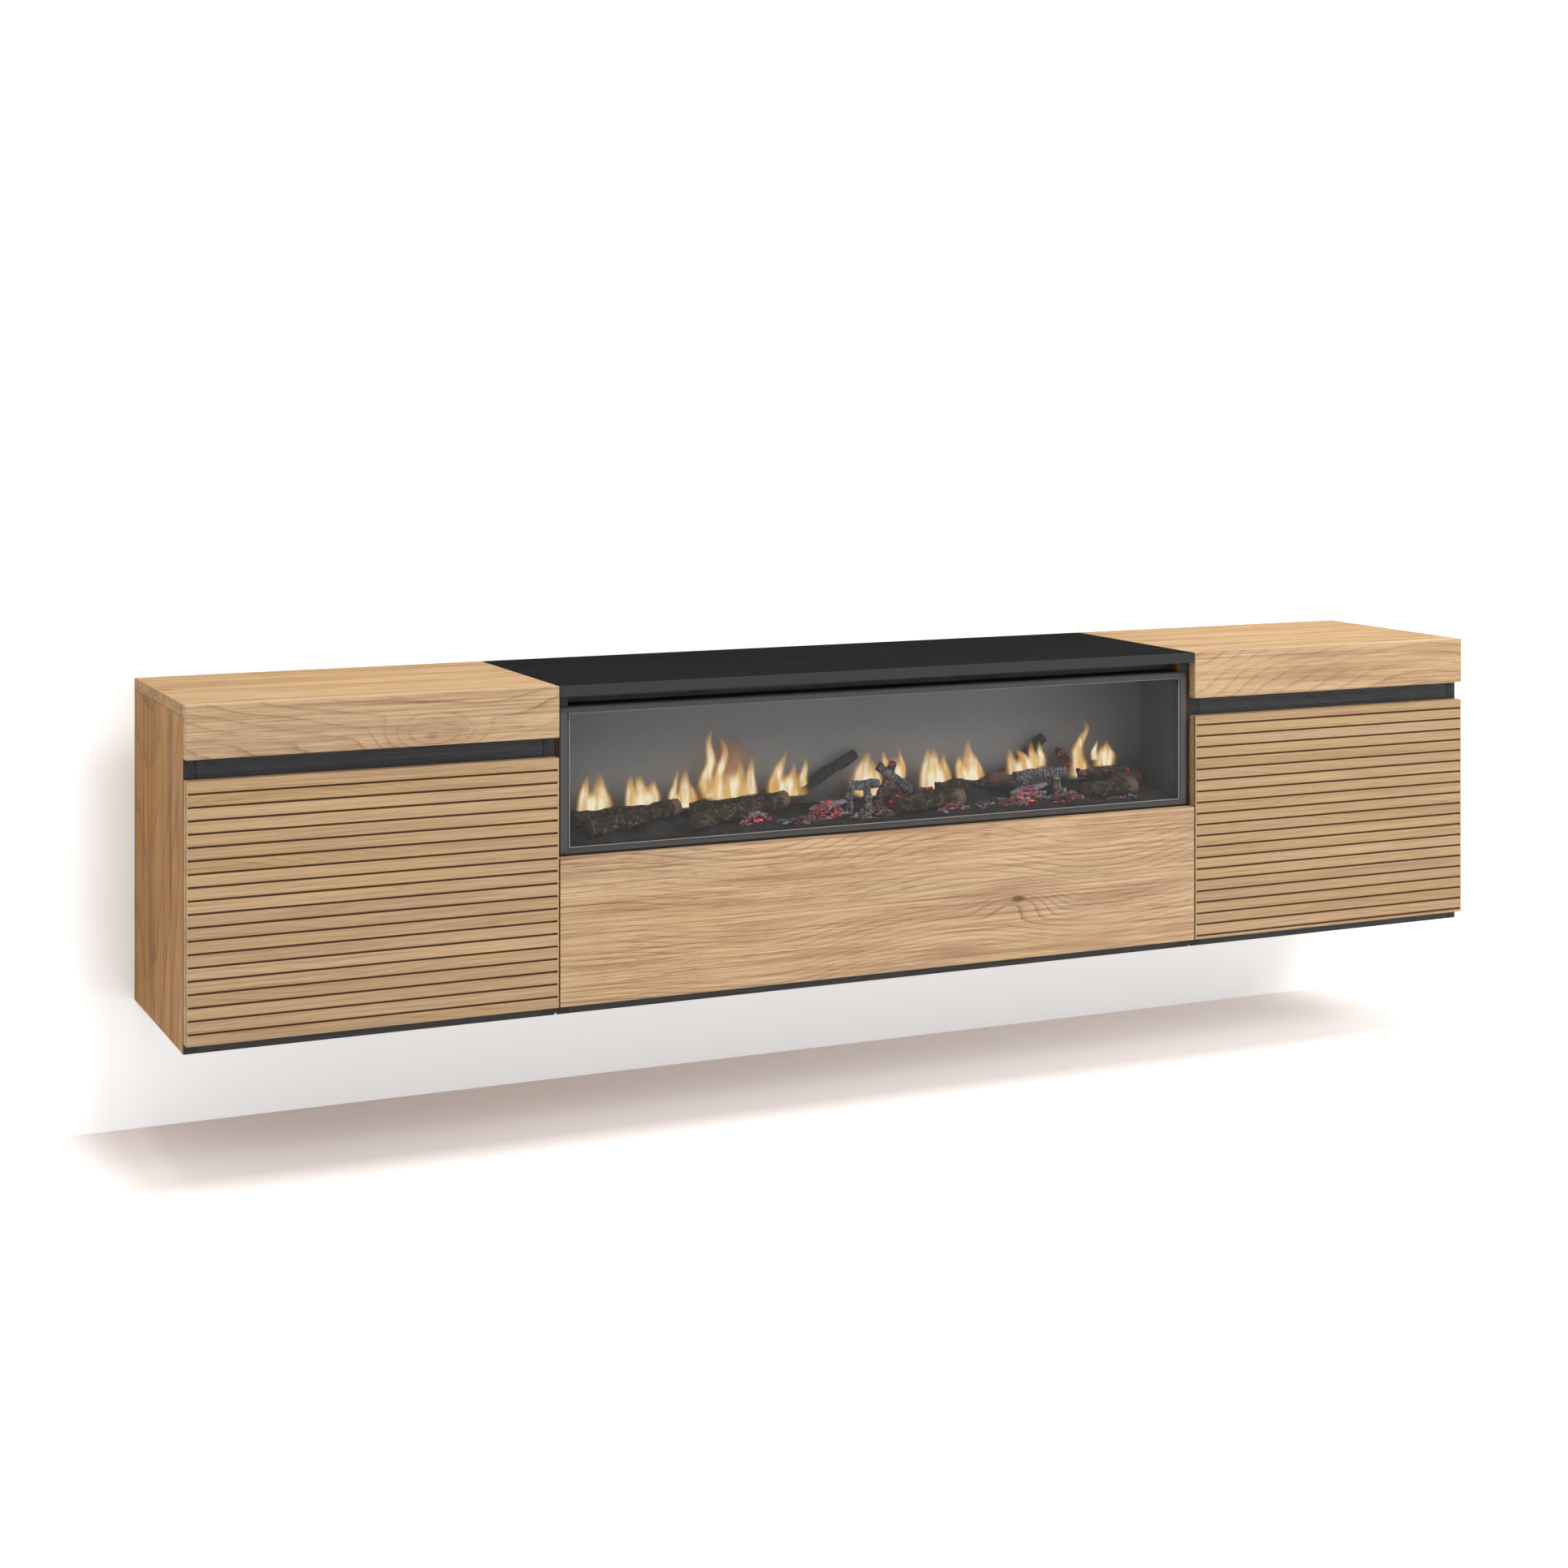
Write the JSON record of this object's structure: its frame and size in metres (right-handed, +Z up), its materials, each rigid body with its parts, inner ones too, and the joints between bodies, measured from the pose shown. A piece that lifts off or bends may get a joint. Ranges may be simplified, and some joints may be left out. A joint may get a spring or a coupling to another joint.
{
  "type": "wall-hung tv stand",
  "caption": "Wide wall-hung TV stand: grooved oak-look cabinets with drop-down flaps either side of a black-topped middle section with a glazed log-effect electric fire.",
  "frame": {"origin": "middle of the rear face of the centre wall cleat, on the wall plane", "axes": "+X along the wall to the viewer's right, +Y into the wall, +Z up; the front faces -Y"},
  "size_m": [2, 0.35, 0.4455],
  "materials": {
    "oak_front": "natural oak laminate with knots, matt",
    "oak_top": "natural oak laminate, straight grain, matt",
    "oak_side": "natural oak laminate, matt",
    "black_board": "black laminate with a faint wood grain, matt",
    "hardboard": "thin brown fibreboard",
    "cleat": "sawn softwood",
    "nickel": "nickel-plated steel",
    "zinc": "zinc-plated steel",
    "frame_grey": "satin dark grey paint",
    "bezel": "satin trim",
    "case": "matt black paint",
    "glass": "clear, polished",
    "screen": "dark translucent sheet",
    "bark": "moulded and painted as charred logs on embers",
    "light_board": "white circuit strip",
    "mirror_foil": "bright foil",
    "black_plastic": "matt"
  },
  "bodies": {
    "cabinet": {"left_outer_side": "oak_side", "left_inner_side": "oak_side", "left_bottom_panel": "black_board", "left_finger_rail": "black_board", "left_back_panel": "hardboard", "left_top_panel": "oak_top", "left_fascia": "oak_front", "right_outer_side": "oak_side", "right_inner_side": "oak_side", "right_bottom_panel": "black_board", "right_finger_rail": "black_board", "right_back_panel": "hardboard", "right_top_panel": "oak_top", "right_fascia": "oak_front", "centre_left_side": "oak_side", "centre_right_side": "oak_side", "centre_bottom_panel": "black_board", "centre_shelf": "black_board", "centre_back_panel": "hardboard", "centre_top_panel": "black_board", "left_case_leaf": "nickel", "left_stay_plate": "zinc", "left_wall_cleat": "cleat", "left_cabinet_cleat": "cleat", "right_case_leaf": "nickel", "right_stay_plate": "zinc", "right_wall_cleat": "cleat", "right_cabinet_cleat": "cleat", "centre_case_leaf": "nickel", "centre_stay_plate": "zinc", "centre_wall_cleat": "cleat", "centre_cabinet_cleat": "cleat", "fire_case": "case", "front_frame": "frame_grey", "glass_bezel": "bezel", "front_glass": "glass", "flame_screen": "screen", "fuel_bed": "bark", "ember_light_strip": "light_board", "rotor_motor": "black_plastic", "power_inlet": "black_plastic"},
    "left_flap_body": {"left_flap": "oak_front", "left_flap_leaf": "nickel", "left_stay_foot": "zinc"},
    "left_arm_body": {"left_stay_arm": "zinc"},
    "left_strut_body": {"left_stay_strut": "zinc"},
    "right_flap_body": {"right_flap": "oak_front", "right_flap_leaf": "nickel", "right_stay_foot": "zinc"},
    "right_arm_body": {"right_stay_arm": "zinc"},
    "right_strut_body": {"right_stay_strut": "zinc"},
    "centre_flap_body": {"centre_flap": "oak_front", "centre_flap_leaf": "nickel", "centre_stay_foot": "zinc"},
    "centre_arm_body": {"centre_stay_arm": "zinc"},
    "centre_strut_body": {"centre_stay_strut": "zinc"},
    "flame_rotor_body": {"flame_rotor": "mirror_foil"}
  },
  "joints": [
    {"name": "left_flap_hinge", "type": "hinge", "parent": "cabinet", "child": "left_flap_body", "pos_m": [-0.7518, -0.336, -0.3565], "axis": [1, 0, 0], "range_deg": [0, 90]},
    {"name": "left_arm_pivot", "type": "hinge", "parent": "cabinet", "child": "left_arm_body", "pos_m": [-0.5238, -0.218, -0.2985], "axis": [1, 0, 0], "range_deg": [0, 90]},
    {"name": "left_strut_pivot", "type": "hinge", "parent": "left_flap_body", "child": "left_strut_body", "pos_m": [-0.5262, -0.327, -0.2508], "axis": [1, 0, 0], "range_deg": [-90, 0]},
    {"name": "right_flap_hinge", "type": "hinge", "parent": "cabinet", "child": "right_flap_body", "pos_m": [0.7518, -0.336, -0.3565], "axis": [1, 0, 0], "range_deg": [0, 90]},
    {"name": "right_arm_pivot", "type": "hinge", "parent": "cabinet", "child": "right_arm_body", "pos_m": [0.5238, -0.218, -0.2985], "axis": [1, 0, 0], "range_deg": [0, 90]},
    {"name": "right_strut_pivot", "type": "hinge", "parent": "right_flap_body", "child": "right_strut_body", "pos_m": [0.5262, -0.327, -0.2508], "axis": [1, 0, 0], "range_deg": [-90, 0]},
    {"name": "centre_flap_hinge", "type": "hinge", "parent": "cabinet", "child": "centre_flap_body", "pos_m": [0, -0.336, -0.3565], "axis": [1, 0, 0], "range_deg": [0, 90]},
    {"name": "centre_arm_pivot", "type": "hinge", "parent": "cabinet", "child": "centre_arm_body", "pos_m": [-0.4814, -0.218, -0.2985], "axis": [1, 0, 0], "range_deg": [0, 90]},
    {"name": "centre_strut_pivot", "type": "hinge", "parent": "centre_flap_body", "child": "centre_strut_body", "pos_m": [-0.479, -0.327, -0.2508], "axis": [1, 0, 0], "range_deg": [-90, 0]},
    {"name": "flame_rotor_spin", "type": "hinge", "parent": "cabinet", "child": "flame_rotor_body", "pos_m": [0, -0.20325, -0.1375], "axis": [1, 0, 0], "continuous": true}
  ],
  "couplings": [
    {"joint": "left_arm_pivot", "follows": "left_flap_hinge", "ratio": 1},
    {"joint": "left_strut_pivot", "follows": "left_flap_hinge", "ratio": -1},
    {"joint": "right_arm_pivot", "follows": "right_flap_hinge", "ratio": 1},
    {"joint": "right_strut_pivot", "follows": "right_flap_hinge", "ratio": -1},
    {"joint": "centre_arm_pivot", "follows": "centre_flap_hinge", "ratio": 1},
    {"joint": "centre_strut_pivot", "follows": "centre_flap_hinge", "ratio": -1}
  ]
}
